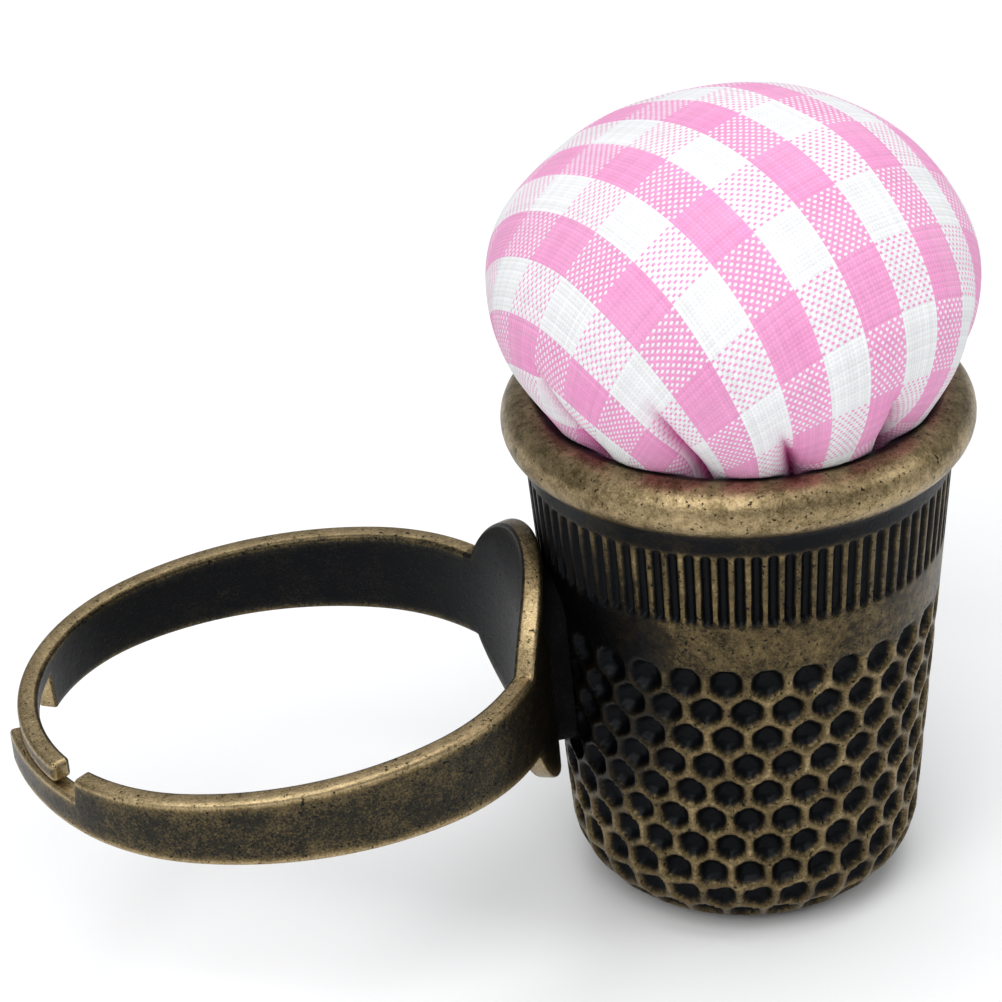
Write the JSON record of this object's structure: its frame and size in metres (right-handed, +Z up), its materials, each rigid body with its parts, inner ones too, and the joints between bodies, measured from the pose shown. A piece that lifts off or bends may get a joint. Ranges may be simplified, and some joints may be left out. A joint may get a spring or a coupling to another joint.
{
  "type": "thimble pincushion ring",
  "caption": "Dimpled metal thimble holding a round gathered fabric pincushion, soldered by its side to the round pad of an adjustable open finger ring.",
  "frame": {"origin": "centre of the thimble's closed end, on the face that it stands on", "axes": "+Z up the thimble's axis towards its mouth, -X towards the finger ring, +Y towards the ring's back arm"},
  "size_m": [0.0377, 0.0188, 0.0327],
  "materials": {
    "thimble_bronze": "antique bronze, dark in the hollows and worn bright on the ridges",
    "ring_bronze": "antique bronze, grey-black faces with worn golden edges",
    "solder": "dark patinated solder",
    "gingham": "plain-weave cotton, pink and white gingham check",
    "stuffing": "packed fibre fill",
    "thread": "waxed cotton thread",
    "glue": "hot-melt glue"
  },
  "bodies": {
    "thimble": {"thimble_cup": "thimble_bronze", "ring_pad": "ring_bronze", "pad_solder": "solder", "cushion_cover": "gingham", "cushion_stuffing": "stuffing", "gather_thread": "thread", "gather_knot": "thread", "glue_bed": "glue"},
    "front_arm": {"ring_arm_front": "ring_bronze"},
    "back_arm": {"ring_arm_back": "ring_bronze"}
  },
  "joints": [
    {"name": "front_arm_bend", "type": "hinge", "parent": "thimble", "child": "front_arm", "pos_m": [-0.00989, -0.00514, 0.01012], "axis": [-0.061, -0.0696, 0.9957], "range_deg": [-1.5, 7]},
    {"name": "back_arm_bend", "type": "hinge", "parent": "thimble", "child": "back_arm", "pos_m": [-0.00989, 0.00507, 0.01084], "axis": [0.061, 0.0696, -0.9957], "range_deg": [-1.5, 7]}
  ]
}
